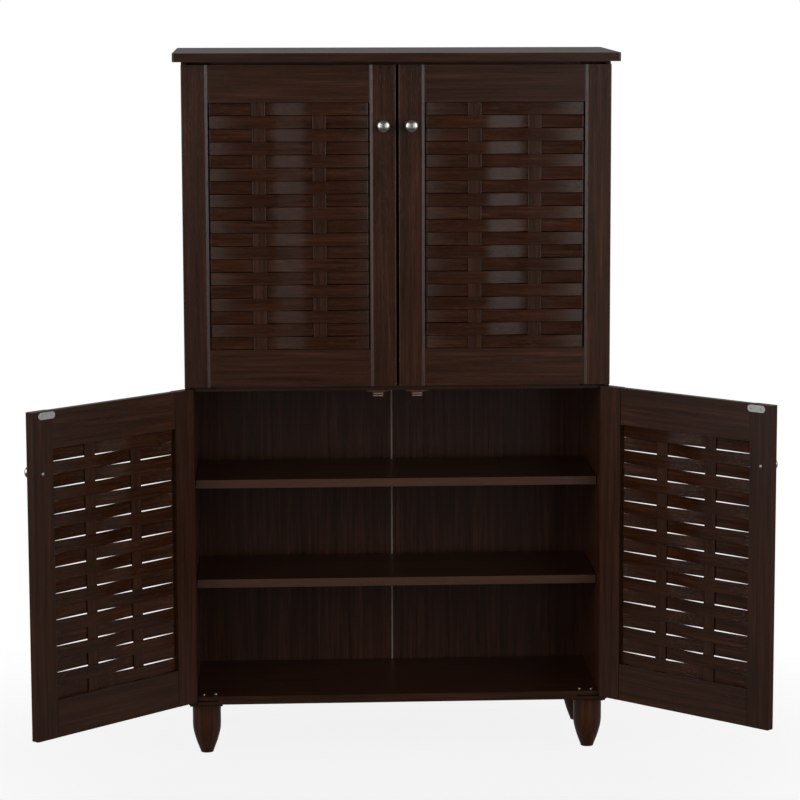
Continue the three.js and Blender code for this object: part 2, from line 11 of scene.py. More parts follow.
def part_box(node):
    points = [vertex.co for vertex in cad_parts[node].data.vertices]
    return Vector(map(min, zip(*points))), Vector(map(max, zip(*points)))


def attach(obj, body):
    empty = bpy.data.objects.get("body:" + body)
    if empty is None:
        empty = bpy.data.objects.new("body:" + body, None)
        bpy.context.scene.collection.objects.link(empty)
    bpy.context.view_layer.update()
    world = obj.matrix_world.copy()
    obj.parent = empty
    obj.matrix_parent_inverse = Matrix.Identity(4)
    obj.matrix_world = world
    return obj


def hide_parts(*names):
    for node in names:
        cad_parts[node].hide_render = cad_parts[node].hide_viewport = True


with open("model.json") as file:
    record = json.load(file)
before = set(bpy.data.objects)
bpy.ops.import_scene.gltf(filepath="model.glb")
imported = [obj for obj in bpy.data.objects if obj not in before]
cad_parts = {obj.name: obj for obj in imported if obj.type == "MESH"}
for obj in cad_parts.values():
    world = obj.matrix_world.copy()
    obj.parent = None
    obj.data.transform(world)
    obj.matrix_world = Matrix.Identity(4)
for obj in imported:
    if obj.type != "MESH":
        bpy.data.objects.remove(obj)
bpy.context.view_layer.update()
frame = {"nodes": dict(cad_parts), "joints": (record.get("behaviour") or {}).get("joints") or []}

MM = 0.001
SIDES = ("left", "right")
TIERS = ("upper", "lower")

# Clearances of the carcass as it was drawn: between pieces that touch, and at the ends of a shelf.
FIT = 0.3 * MM
SHELF_END_GAP = 1 * MM

# Woven panels. A batten is set in from each stile, and the slats bend between the battens.
SLAT_COUNT = 19
SLAT_THICKNESS = 3 * MM
SLAT_GAP = 0.7 * MM
SLAT_END_GAP = 1.2 * MM
SLAT_BEND = 11 * MM
SLAT_SPRING = 2.4
SLAT_STATIONS = 72
SLAT_ARRIS = 0.5 * MM
BATTEN_WIDTH = 23 * MM
BATTEN_THICKNESS = 3 * MM
BATTEN_INSET = 87 * MM
BATTEN_TENON = 7.5 * MM
BATTEN_ARRIS = 1.2 * MM
WEAVE_CLEARANCE = 0.05 * MM
WEAVE_STARTS_IN_FRONT = ("lower_right",)

# Screws. The sizes of the smaller ones are shares of this one.
SCREW_RADIUS = 3.1 * MM
SCREW_HEIGHT = 2 * MM
STRIKE_SCREW_SIZE = 0.62
LEG_SCREW_SIZE = 0.8
HINGE_SCREW_SIZE = 0.95

# Knobs.
KNOB_LIFT = 22 * MM
KNOB_RADIUS = 11 * MM
KNOB_NECK = 5.5 * MM

# Strike plates. Their screws are sunk, so that they clear the catches.
STRIKE_SCREW_SPREAD = 10 * MM
STRIKE_SCREW_SUNK = 0.6 * MM
STRIKE_RIM = 0.35 * MM

# Catches. Heights are measured down from the board above.
CATCH_BODY = 9.5 * MM
CATCH_EAR_TIP = 1.2 * MM
CATCH_EAR_ROOT = 3.2 * MM
CATCH_EAR_FILLET = 1.2 * MM
CATCH_SCREW_SPREAD = 15.5 * MM
CATCH_SCREW_DROP = 2.2 * MM
POLE_REACH = 7.6 * MM
POLE_DROP = 7.4 * MM
POLE_SPREAD = 1.9 * MM
POLE_THICKNESS = 1 * MM
POLE_PROUD = 0.6 * MM
POLE_SUNK = 0.5 * MM

# Shelf pins.
PIN_RADIUS = 2.4 * MM
PIN_COLLAR_RADIUS = 3.6 * MM
PIN_COLLAR = (1.2 * MM, 2.2 * MM)
PIN_SUNK = 0.6 * MM
PIN_CHAMFER = 8.4 * MM
PIN_LENGTH = 9 * MM
PIN_INSET = 32 * MM

# Legs.
LEG_RADIUS = 25 * MM
LEG_STRAIGHT_FROM = 52 * MM
LEG_PLATE = 6 * MM
LEG_SCREW_INSET = 5.2 * MM

# Screws of the bottom hinge plates: in from the plate's outer end, and back from the board's front edge.
HINGE_SCREWS = ((25.5 * MM, 14 * MM), (46 * MM, 18 * MM))


# Camera and light ------------------------------------------------------------

# Where the camera stands, and its angles in degrees: turned left, tilted down, rolled left.
CAMERA_PLACE = (-0.2204, -5.2092, 1.4)
CAMERA_HEADING = -3.624
CAMERA_TILT = 8.068
CAMERA_ROLL = -0.022
CAMERA_LENS = 135.512
CAMERA_SHIFT = (-0.075, -0.0187)

# The point that the softboxes face.
LIT_POINT = Vector((0, 0, 0.7))

# Light of the room from front (0) to back (1).
ROOM_GLOW = ((0.0, 0.03), (0.25, 0.04), (0.42, 0.12), (0.70, 0.14), (0.92, 0.27))

# How much of the floor shows over the white behind it, and between which distances it fades.
FLOOR_STRENGTH = 0.14
FLOOR_RADIUS = 4.0
FLOOR_FADE = (0.45, 1.2)


def placed(name, data):
    """A new object in the scene."""
    thing = bpy.data.objects.new(name, data)
    bpy.context.scene.collection.objects.link(thing)
    return thing


def add_camera():
    """The camera stands a little left of centre, above the cabinet's top, and looks slightly down."""
    data = bpy.data.cameras.new("camera")
    data.sensor_width = 36
    data.lens = CAMERA_LENS
    data.shift_x, data.shift_y = CAMERA_SHIFT
    data.clip_end = 200
    camera = placed("camera", data)
    heading = Matrix.Rotation(math.radians(CAMERA_HEADING), 4, "Z")
    tilt = Matrix.Rotation(math.radians(90 - CAMERA_TILT), 4, "X")
    roll = Matrix.Rotation(math.radians(CAMERA_ROLL), 4, "Z")
    camera.matrix_world = Matrix.Translation(CAMERA_PLACE) @ heading @ tilt @ roll
    bpy.context.scene.camera = camera


def add_softbox(name, bearing, distance, height, width, tall, radiance):
    """A softbox that faces the cabinet. Its bearing is the angle from straight in front, to the right."""
    angle = math.radians(bearing)
    place = Vector((distance * math.sin(angle), -distance * math.cos(angle), height))
    data = bpy.data.lights.new(name, "AREA")
    data.shape = "RECTANGLE"
    data.size = width
    data.size_y = tall
    data.energy = radiance * math.pi * width * tall
    lamp = placed(name, data)
    lamp.location = place
    lamp.rotation_mode = "QUATERNION"
    lamp.rotation_quaternion = (LIT_POINT - place).to_track_quat("-Z", "Y")


# Paint: shader maths as plain expressions ------------------------------------

class Value:
    """A number or a colour that varies over a surface; arithmetic on a number adds Math nodes."""

    def __init__(self, paint, socket):
        self.paint = paint
        self.socket = socket

    def _math(self, operation, first, second=0.0):
        return self.paint.add("ShaderNodeMath", {"operation": operation}, {0: first, 1: second})

    def __add__(self, other):
        return self._math("ADD", self, other)

    def __radd__(self, other):
        return self._math("ADD", other, self)

    def __sub__(self, other):
        return self._math("SUBTRACT", self, other)

    def __rsub__(self, other):
        return self._math("SUBTRACT", other, self)

    def __mul__(self, other):
        return self._math("MULTIPLY", self, other)

    def __rmul__(self, other):
        return self._math("MULTIPLY", other, self)

    def fraction(self):
        """What is left when the whole part is taken away."""
        return self._math("FRACT", self)

    def stretched(self, low, high):
        """0 below low, 1 above high, smooth between."""
        return self.paint.add(
            "ShaderNodeMapRange",
            {"interpolation_type": "SMOOTHSTEP"},
            {"Value": self, "From Min": low, "From Max": high},
        )


class Paint:
    """The nodes of one material, or of the room, while they are mixed."""

    def __init__(self, owner):
        owner.use_nodes = True
        self.owner = owner
        self.tree = owner.node_tree
        self.tree.nodes.clear()

    def add(self, kind, settings=None, sockets=None, output=0):
        """A node of that kind. Its settings come first, then the values or links of its sockets."""
        node = self.tree.nodes.new(kind)
        for name, setting in (settings or {}).items():
            if name == "stops":
                set_stops(node.color_ramp, setting)
            else:
                setattr(node, name, setting)
        for key, value in (sockets or {}).items():
            if isinstance(value, Value):
                self.tree.links.new(value.socket, node.inputs[key])
            else:
                node.inputs[key].default_value = value
        return Value(self, node.outputs[output]) if node.outputs else None

    def mix(self, factor, first, second):
        """Two colours mixed: the first where the factor is 0, the second where it is 1."""
        return self.add("ShaderNodeMix", {"data_type": "RGBA"}, {0: factor, 6: first, 7: second}, output=2)

    def vector(self, operation, first, second):
        return self.add("ShaderNodeVectorMath", {"operation": operation}, {0: first, 1: second})

    def rotated(self, place, axis, angle):
        """Coordinates turned round an axis."""
        settings = {"rotation_type": f"{axis}_AXIS"}
        return self.add("ShaderNodeVectorRotate", settings, {"Vector": place, "Angle": angle})

    def noise(self, place, scale, detail=3.0, roughness=0.55, distortion=0.0):
        sockets = {
            "Vector": place,
            "Scale": scale,
            "Detail": detail,
            "Roughness": roughness,
            "Distortion": distortion,
        }
        return self.add("ShaderNodeTexNoise", {}, sockets)

    def drawn_out(self, place, per_metre, detail, roughness=0.55, distortion=0.0):
        """Noise that repeats so often per metre along X, Y and Z."""
        return self.noise(self.vector("MULTIPLY", place, per_metre), 1.0, detail, roughness, distortion)

    def bump(self, height, strength, distance):
        return self.add("ShaderNodeBump", {}, {"Height": height, "Strength": strength, "Distance": distance})

    def finish(self, **sockets):
        """The surface itself. Constants go straight to the shader's own sockets."""
        named = {name.replace("_", " "): value for name, value in sockets.items()}
        shader = self.add("ShaderNodeBsdfPrincipled", {}, named)
        self.add("ShaderNodeOutputMaterial", {}, {"Surface": shader})
        return self.owner


def set_stops(ramp, stops):
    """Colour stops as (position, colour) pairs."""
    while len(ramp.elements) < len(stops):
        ramp.elements.new(0.5)
    for element, (position, colour) in zip(ramp.elements, stops):
        element.position = position
        element.color = colour


def rgb(red, green, blue):
    """A colour given as on a screen, 0 to 255, as scene-linear numbers."""
    def linear(c):
        c /= 255
        return c / 12.92 if c <= 0.04045 else ((c + 0.055) / 1.055) ** 2.4
    return (linear(red), linear(green), linear(blue), 1.0)


def shade(colour, tone):
    """A colour made lighter or darker."""
    red, green, blue, alpha = rgb(*colour)
    return (red * tone, green * tone, blue * tone, alpha)


# Finishes --------------------------------------------------------------------

# Tones of the stained wood, from its pores to its lightest streaks, and of the shelves' edge band, which is
# made paler and greyer as a painted highlight of their lit front edges.
WOOD_PORE = (22, 8, 3)
WOOD_DEEP = (40, 16, 5)
WOOD_BODY = (57, 29, 11)
WOOD_WARM = (73, 37, 17)
WOOD_LIGHT = (99, 58, 33)
# The edge band's colour is partly a painted highlight: lighter and greyer, as a lit front edge looks.
EDGE_BAND_AND_SHEEN = (104, 72, 56)

# How often each layer of the figure repeats per metre: twice across the grain, then along it.
CLOUDS = (9.0, 9.0, 1.4)
STREAKS = (150.0, 150.0, 5.0)
LINES = (620.0, 620.0, 11.0)
PORES = (1500.0, 1500.0, 60.0)

# How far the clouds bend the streaks, in metres.
WANDER = (0.012, 0.012, 0.0)

# How unlike each other the pieces, and the separate strips of one piece, are.
PIECE_SHIFT = {"X": 7.3, "Y": 3.1, "Z": 5.7}
STRIP_SHIFT = 3.7
TONE_SHIFT = 5.3


def own_number(paint, strips):
    """A random number of the piece's own, or of each separate strip of it."""
    own = paint.add("ShaderNodeObjectInfo", output="Random")
    if strips:
        own = own + paint.add("ShaderNodeNewGeometry", output="Random Per Island") * STRIP_SHIFT
    return own


def grain_place(paint, grain, turn, own):
    """Coordinates whose Z runs along the grain, shifted so that no two pieces are alike."""
    place = paint.add("ShaderNodeTexCoord", output="Object")
    if turn:
        place = paint.rotated(place, "Z", turn)
    if grain == "across":
        place = paint.rotated(place, "Y", math.pi / 2)
    shift = paint.add("ShaderNodeCombineXYZ", {}, {way: own * share for way, share in PIECE_SHIFT.items()})
    return paint.vector("ADD", place, shift)


def stained(paint, figure, tone):
    """The stain's tones, from the deep to the light parts of the figure."""
    stops = [
        (0.32, shade(WOOD_DEEP, tone)),
        (0.47, shade(WOOD_BODY, tone)),
        (0.57, shade(WOOD_WARM, tone)),
        (0.68, shade(WOOD_LIGHT, tone)),
    ]
    return paint.add("ShaderNodeValToRGB", {"stops": stops}, {"Fac": figure})


def edge_banded_and_lit(paint, colour):
    """A paler strip on the faces that point to the front: an edge band with a painted highlight of the light
    on those edges.
    """
    normal = paint.add("ShaderNodeNewGeometry", output="Normal")
    forward = paint.add("ShaderNodeSeparateXYZ", {}, {0: normal}, output="Y") * -1
    return paint.mix(forward.stretched(0.6, 0.9) * 0.6, colour, rgb(*EDGE_BAND_AND_SHEEN))


def wenge(name, grain="upright", turn=0.0, strips=False, tone=1.0, rough=0.28, banded_and_lit=False):
    """Espresso-stained wood under satin lacquer: long streaks, fine dark pores, slow clouds of tone."""
    paint = Paint(bpy.data.materials.new(name))
    own = own_number(paint, strips)
    place = grain_place(paint, grain, turn, own)
    slow = paint.drawn_out(place, CLOUDS, 3.0, 0.5, 0.6)
    bent = paint.vector("ADD", place, paint.vector("MULTIPLY", slow, WANDER))
    streaks = paint.drawn_out(bent, STREAKS, 5.0, 0.62)
    lines = paint.drawn_out(bent, LINES, 3.0, 0.6)
    pore = paint.drawn_out(bent, PORES, 2.0, 0.5).stretched(0.60, 0.72)
    colour = stained(paint, streaks * 0.55 + lines * 0.30 + slow * 0.15, tone)
    colour = paint.mix(pore * 0.55, colour, shade(WOOD_PORE, tone))
    colour = paint.mix((own * TONE_SHIFT).fraction() * 0.22, colour, shade(WOOD_DEEP, tone))
    # Front-facing faces made paler: an edge band with a painted highlight.
    if banded_and_lit:
        colour = edge_banded_and_lit(paint, colour)
    relief = lines * 0.5 + streaks * 0.5 - pore * 0.6
    return paint.finish(
        Base_Color=colour,
        Roughness=rough + streaks * 0.16 + pore * 0.12 - 0.06,
        Specular_IOR_Level=0.44,
        Normal=paint.bump(relief, 0.3, 0.4 * MM),
    )


def moulded_plastic(name, low, high):
    """Moulded plastic with a fine spark-eroded grain."""
    paint = Paint(bpy.data.materials.new(name))
    place = paint.add("ShaderNodeTexCoord", output="Object")
    cloud = paint.noise(place, 60.0)
    grit = paint.noise(place, 2400.0, 2.0)
    return paint.finish(
        Base_Color=paint.mix(cloud, rgb(*low), rgb(*high)),
        Roughness=0.34 + grit * 0.2,
        Normal=paint.bump(grit, 0.25, 0.1 * MM),
    )


def sheet_steel(name, low, high, rough):
    """Sheet steel, faintly brushed and clouded."""
    paint = Paint(bpy.data.materials.new(name))
    place = paint.add("ShaderNodeTexCoord", output="Object")
    cloud = paint.noise(place, 160.0, 3.0, 0.6)
    brush = paint.drawn_out(place, (40.0, 40.0, 900.0), 3.0)
    return paint.finish(
        Base_Color=paint.mix(cloud, rgb(*low), rgb(*high)),
        Metallic=1.0,
        Roughness=rough + brush * 0.2,
        Normal=paint.bump(brush, 0.12, 0.05 * MM),
    )


def polished_nickel(name):
    """Bright nickel with a few hairline rub marks."""
    paint = Paint(bpy.data.materials.new(name))
    place = paint.add("ShaderNodeTexCoord", output="Object")
    cloud = paint.noise(place, 240.0, 3.0, 0.6)
    rubs = paint.drawn_out(place, (3000.0, 300.0, 300.0), 2.0)
    return paint.finish(
        Base_Color=paint.mix(cloud, rgb(205, 203, 197), rgb(226, 224, 218)),
        Metallic=1.0,
        Roughness=0.27 + rubs.stretched(0.55, 0.8) * 0.12 + cloud * 0.04,
        Normal=paint.bump(rubs, 0.04, 0.03 * MM),
    )


# Mesh making -----------------------------------------------------------------

# Pieces are smooth over turns below this angle, in degrees, unless they say otherwise.
SMOOTH_ANGLE = 40

# Steps of a curve between two of its points, and of the dome of a screw head.
CURVE_STEPS = 6


def show(name, mesh, material, body, replaces=(), smooth_angle=SMOOTH_ANGLE, even=False):
    """A finished mesh as a piece that moves with its body."""
    piece = placed(name, mesh)
    mesh.materials.append(material)
    mesh.shade_smooth()
    mesh.set_sharp_from_angle(angle=math.radians(smooth_angle))
    if even:
        even_out(piece)
    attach(piece, body)
    if replaces:
        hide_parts(*replaces)
    return piece


def mesh_from(name, bm, matrix=None):
    if matrix is not None:
        bm.transform(matrix)
    bmesh.ops.recalc_face_normals(bm, faces=bm.faces)
    mesh = bpy.data.meshes.new(name)
    bm.to_mesh(mesh)
    bm.free()
    return mesh


def prism(bm, outline, depth):
    """An outline in (x, y) drawn up from z = 0, closed at both ends."""
    low = [bm.verts.new((x, y, 0)) for x, y in outline]
    high = [bm.verts.new((x, y, depth)) for x, y in outline]
    bm.faces.new(list(reversed(low)))
    bm.faces.new(high)
    for i in range(len(outline)):
        j = (i + 1) % len(outline)
        bm.faces.new((low[i], low[j], high[j], high[i]))


def rounded_outline(x0, x1, y0, y1, radius, steps):
    """A rectangle with round corners, each in so many steps."""
    points = []
    corners = (
        (x1 - radius, y0 + radius, -90),
        (x1 - radius, y1 - radius, 0),
        (x0 + radius, y1 - radius, 90),
        (x0 + radius, y0 + radius, 180),
    )
    for cx, cy, start in corners:
        for i in range(steps + 1):
            angle = math.radians(start + 90 * i / steps)
            points.append((cx + radius * math.cos(angle), cy + radius * math.sin(angle)))
    return points


def slab(bm, low, high, arris, steps=3):
    """A box from corner to corner with rounded arrises all round."""
    before = set(bm.verts)
    bmesh.ops.create_cube(bm, size=1.0)
    own = [v for v in bm.verts if v not in before]
    size = Vector(high) - Vector(low)
    centre = (Vector(high) + Vector(low)) / 2
    for v in own:
        v.co = Vector(a * b for a, b in zip(v.co, size)) + centre
    edges = {e for v in own for e in v.link_edges}
    bmesh.ops.bevel(bm, geom=list(edges), offset=arris, segments=steps, profile=0.5, affect="EDGES")


def ring_of(bm, radius, z, segments):
    """A ring of points round Z, or one point where the radius is nothing."""
    if radius == 0:
        return [bm.verts.new((0, 0, z))]
    angles = [2 * math.pi * i / segments for i in range(segments)]
    return [bm.verts.new((radius * math.cos(angle), radius * math.sin(angle), z)) for angle in angles]


def turned(bm, profile, segments):
    """A profile of (radius, height) turned round Z, closed where it meets the axis."""
    rings = [ring_of(bm, radius, z, segments) for radius, z in profile]
    for a, b in zip(rings, rings[1:]):
        for i in range(segments):
            j = (i + 1) % segments
            if len(a) == 1:
                bm.faces.new((a[0], b[i], b[j]))
            elif len(b) == 1:
                bm.faces.new((a[i], a[j], b[0]))
            else:
                bm.faces.new((a[i], a[j], b[j], b[i]))


def through(p0, p1, p2, p3, t):
    """A point on the smooth curve from p1 to p2, whose slopes follow the points beside them."""
    slope = (p2 - p0) * t
    bow = (2 * p0 - 5 * p1 + 4 * p2 - p3) * t * t
    twist = (3 * p1 - p0 - 3 * p2 + p3) * t ** 3
    return 0.5 * ((2 * p1) + slope + bow + twist)


def smooth_profile(points):
    """Points (radius, height) joined by a smooth curve through them all."""
    points = [Vector(point) for point in points]
    last = len(points) - 1
    path = []
    for i in range(last):
        beside = (points[max(i - 1, 0)], points[i], points[i + 1], points[min(i + 2, last)])
        path += [through(*beside, k / CURVE_STEPS) for k in range(CURVE_STEPS)]
    path.append(points[last])
    return [(p.x, p.y) for p in path]


def carved(name, body, cutters):
    """The body mesh with the cutter meshes taken out of it."""
    target = placed(name, body)
    tools = [placed(name + "_tool", cutter) for cutter in cutters]
    for tool in tools:
        knife = target.modifiers.new("cut", "BOOLEAN")
        knife.operation = "DIFFERENCE"
        knife.solver = "EXACT"
        knife.object = tool
    graph = bpy.context.evaluated_depsgraph_get()
    mesh = bpy.data.meshes.new_from_object(target.evaluated_get(graph))
    for thing in (target, *tools):
        bpy.data.objects.remove(thing)
    return mesh


def screw_head(radius, height):
    """A pan head with a cross recess, standing on z = 0, with a stub of its shank below."""
    shank = 0.55 * radius
    stub = -0.4 * height
    rim = 0.25 * height
    profile = [(0, stub), (shank, stub), (shank, 0), (radius, 0), (radius, rim)]
    for i in range(1, CURVE_STEPS):
        angle = math.pi / 2 * i / CURVE_STEPS
        profile.append((radius * math.cos(angle), rim + (height - rim) * math.sin(angle)))
    profile.append((0, height))
    bm = bmesh.new()
    turned(bm, profile, 32)
    head = mesh_from("screw_head", bm)
    reach, half_width = 0.62 * radius, 0.15 * radius
    cutters = []
    for x, y in ((reach, half_width), (half_width, reach)):
        bm = bmesh.new()
        slab(bm, (-x, -y, 0.45 * height), (x, y, 2 * height), 0.3 * half_width, 1)
        cutters.append(mesh_from("recess", bm))
    return carved("screw_head", head, cutters)


def facing(direction):
    """Turns +Z to point along the direction."""
    return Vector(direction).to_track_quat("Z", "Y").to_matrix().to_4x4()


def add_screw(name, head, steel, matrix, size=1.0, body="root", replaces=()):
    """A copy of the screw head, set where the matrix says."""
    mesh = head.copy()
    mesh.transform(matrix @ Matrix.Scale(size, 4))
    show(name, mesh, steel, body, replaces)


def even_out(piece):
    """Keeps flat faces flat in the shading, beside rounded arrises."""
    even = piece.modifiers.new("even", "WEIGHTED_NORMAL")
    even.mode = "FACE_AREA"
    even.weight = 100


def soften(piece, width, segments=2, angle=32):
    """Rounds the arrises of a piece that are sharper than the angle, in degrees."""
    weld = piece.modifiers.new("weld", "WELD")
    weld.merge_threshold = 0.01 * MM
    bevel = piece.modifiers.new("arris", "BEVEL")
    bevel.width = width
    bevel.segments = segments
    bevel.limit_method = "ANGLE"
    bevel.angle_limit = math.radians(angle)
    even_out(piece)


def dress(node, material, width, segments=2, angle=32):
    """A carried-over node gets its finish and rounded arrises."""
    piece = frame["nodes"][node]
    piece.data.materials.clear()
    piece.data.materials.append(material)
    piece.data.shade_smooth()
    soften(piece, width, segments, angle)


# Where the doors are -----------------------------------------------------------

class Door:
    """One door. Its frame has X and Y as when it is closed, and Z = 0 on the floor."""

    def __init__(self, joint):
        self.body = joint["child"]
        self.tag = self.body.removeprefix("door_")
        x, y, _ = joint["pos_m"]
        turn = math.radians(-joint["range_deg"][0])
        axis = Vector(joint["axis"])
        self.spin = turn * axis.z
        self.matrix = Matrix.Translation((x, y, 0)) @ Matrix.Rotation(turn, 4, axis)

    def box(self, kind):
        """Corners of one of the door's nodes in the door's own frame."""
        back = self.matrix.inverted()
        points = [back @ v.co for v in frame["nodes"][f"{kind}_{self.tag}"].data.vertices]
        low = Vector(min(p[i] for p in points) for i in range(3))
        high = Vector(max(p[i] for p in points) for i in range(3))
        return low, high

    def opening(self):
        """Edges of the opening between stiles and rails: x0, x1, z0, z1."""
        low, high = self.box("rail_bottom")
        top_low, _ = self.box("rail_top")
        return low.x - FIT, high.x + FIT, high.z, top_low.z

    def seat(self, x, y, z, direction):
        """A place in the door's frame, with +Z turned along the direction."""
        return self.matrix @ Matrix.Translation((x, y, z)) @ facing(direction)


# Woven panels ------------------------------------------------------------------

def eased(x, start, end):
    """0 before start, 1 after end, with a straight slope between rounded turns."""
    def ramp(t):
        if t <= -SLAT_BEND:
            return 0.0
        if t >= SLAT_BEND:
            return t
        return (t + SLAT_BEND) ** 2 / (4 * SLAT_BEND)
    first, last = start + SLAT_BEND, end - SLAT_BEND
    return (ramp(x - first) - ramp(x - last)) / (last - first)


def risen(share):
    """0 at the stile and 1 at the batten, steepest at the stile."""
    return 1 - (1 - share) ** SLAT_SPRING


def slat_depth(x, x0, x1, battens, front_first):
    """How far behind the panel's middle the slat runs at x. It leaves each stile at a slant."""
    clear = (BATTEN_THICKNESS + SLAT_THICKNESS) / 2 + WEAVE_CLEARANCE
    side = -1 if front_first else 1
    half = BATTEN_WIDTH / 2
    first, second = battens
    if x < first - half:
        return side * clear * risen((x - x0) / (first - half - x0))
    if x > second + half:
        return -side * clear * risen((x1 - x) / (x1 - second - half))
    return side * clear * (1 - 2 * eased(x, first + half, second - half))


def add_slat(bm, x0, x1, z0, z1, battens, front_first):
    """One bent slat: a thin rounded section swept along its wavy path."""
    half = SLAT_THICKNESS / 2
    section = rounded_outline(-half, half, z0, z1, SLAT_ARRIS, 3)
    rings = []
    for i in range(SLAT_STATIONS + 1):
        x = x0 + (x1 - x0) * i / SLAT_STATIONS
        depth = slat_depth(x, x0, x1, battens, front_first)
        rings.append([bm.verts.new((x, depth + y, z)) for y, z in section])
    for a, b in zip(rings, rings[1:]):
        for i in range(len(section)):
            j = (i + 1) % len(section)
            bm.faces.new((a[i], a[j], b[j], b[i]))
    bm.faces.new(rings[0])
    bm.faces.new(list(reversed(rings[-1])))


def add_slats(door, battens, finish):
    """The panel's slats, which pass in front of a batten and behind it by turns."""
    x0, x1, z0, z1 = door.opening()
    pitch = (z1 - z0) / SLAT_COUNT
    bm = bmesh.new()
    for row in range(SLAT_COUNT):
        top = z1 - row * pitch - SLAT_GAP / 2
        bottom = top - pitch + SLAT_GAP
        in_front = (row % 2 == 1) != (door.tag in WEAVE_STARTS_IN_FRONT)
        add_slat(bm, x0 + SLAT_END_GAP, x1 - SLAT_END_GAP, bottom, top, battens, in_front)
    mesh = mesh_from("slats", bm, door.matrix)
    replaced = [f"woven_panel_{door.tag}"]
    show(f"slats_{door.tag}", mesh, finish, door.body, replaced, 80, even=True)


def add_battens(door, battens, finish):
    """Two flat upright strips, tenoned into the rails."""
    _, _, z0, z1 = door.opening()
    half = BATTEN_WIDTH / 2
    bm = bmesh.new()
    for centre in battens:
        low = (centre - half, -BATTEN_THICKNESS / 2, z0 - BATTEN_TENON)
        high = (centre + half, BATTEN_THICKNESS / 2, z1 + BATTEN_TENON)
        slab(bm, low, high, BATTEN_ARRIS)
    mesh = mesh_from("battens", bm, door.matrix)
    show(f"battens_{door.tag}", mesh, finish, door.body, smooth_angle=80, even=True)


def add_woven_panel(door, slat_finish, batten_finish):
    x0, x1, _, _ = door.opening()
    battens = (x0 + BATTEN_INSET, x1 - BATTEN_INSET)
    add_slats(door, battens, slat_finish)
    add_battens(door, battens, batten_finish)


# Knobs and strike plates ---------------------------------------------------------

def knob_mesh():
    """A round mushroom knob standing on z = 0: a flange, a waisted neck and a domed cap."""
    flange = 1.25 * KNOB_NECK
    foot = [(0, 0), (flange, 0), (flange, 1.2 * MM), (1.12 * KNOB_NECK, 1.8 * MM)]
    neck = [
        (KNOB_NECK, 2.6 * MM),
        (0.96 * KNOB_NECK, 6 * MM),
        (1.15 * KNOB_NECK, 9.6 * MM),
    ]
    cap = [
        (0.86 * KNOB_RADIUS, 12.6 * MM),
        (KNOB_RADIUS, 15.6 * MM),
        (0.93 * KNOB_RADIUS, 18.6 * MM),
        (0.66 * KNOB_RADIUS, 20.8 * MM),
        (0.3 * KNOB_RADIUS, 0.993 * KNOB_LIFT),
        (0, KNOB_LIFT),
    ]
    bm = bmesh.new()
    turned(bm, foot + smooth_profile(neck + cap), 64)
    return mesh_from("knob", bm)


def add_knob(door, nickel, steel, head):
    """A knob on the door's front, and the head of its screw on the back."""
    low, high = door.box("knob")
    centre = (low + high) / 2
    mesh = knob_mesh()
    mesh.transform(door.seat(centre.x, high.y, centre.z, (0, -1, 0)))
    show(f"knob_{door.tag}_polished", mesh, nickel, door.body, [f"knob_{door.tag}"], 50)
    back = door.box("knob_screw")[1].y - SCREW_HEIGHT
    seat = door.seat(centre.x, back, centre.z, (0, 1, 0))
    replaced = [f"knob_screw_{door.tag}"]
    add_screw(f"knob_screw_{door.tag}_head", head, steel, seat, 1.0, door.body, replaced)


def strike_mesh(length, height, thickness):
    """A plate with round ends and a softened rim, lying on z = 0."""
    end = height / 2 - 0.01 * MM
    bm = bmesh.new()
    prism(bm, rounded_outline(-length / 2, length / 2, -height / 2, height / 2, end, 16), thickness)
    rim = [e for e in bm.edges if all(v.co.z > thickness / 2 for v in e.verts)]
    bmesh.ops.bevel(bm, geom=rim, offset=STRIKE_RIM, segments=2, profile=0.5, affect="EDGES")
    return mesh_from("strike", bm)


def add_strike(door, steel, head):
    """The plate that the magnet holds, on the door's back, with two screws."""
    low, high = door.box("strike_plate")
    centre = (low + high) / 2
    size = high - low
    mesh = strike_mesh(size.x, size.z, size.y)
    mesh.transform(door.seat(centre.x, low.y, centre.z, (0, 1, 0)))
    show(f"strike_{door.tag}_plate", mesh, steel, door.body, [f"strike_plate_{door.tag}"])
    for n, side in enumerate((-1, 1), 1):
        x = centre.x + side * STRIKE_SCREW_SPREAD
        seat = door.seat(x, high.y - STRIKE_SCREW_SUNK, centre.z, (0, 1, 0))
        add_screw(f"strike_screw_{door.tag}_{n}", head, steel, seat, STRIKE_SCREW_SIZE, door.body)


# Carcass fittings ----------------------------------------------------------------

def catch_outline(half, height):
    """The housing from the front: a square body with a screw ear tapering out at each side."""
    right = [
        (half, 0),
        (half, -CATCH_EAR_TIP),
        (CATCH_BODY + CATCH_EAR_FILLET, -CATCH_EAR_ROOT),
        (CATCH_BODY, -CATCH_EAR_ROOT - CATCH_EAR_FILLET),
        (CATCH_BODY, -height),
    ]
    return [(-x, y) for x, y in right] + right[::-1]


def add_poles(name, centre_x, front, top, steel):
    """The two pole plates of a catch's magnet, one above the other."""
    bm = bmesh.new()
    for offset in (-1, 1):
        z = top - POLE_DROP + offset * POLE_SPREAD
        low = (centre_x - POLE_REACH, front - POLE_PROUD, z - POLE_THICKNESS / 2)
        high = (centre_x + POLE_REACH, front + POLE_SUNK, z + POLE_THICKNESS / 2)
        slab(bm, low, high, POLE_THICKNESS / 4)
    show(name, mesh_from("poles", bm), steel, "root")


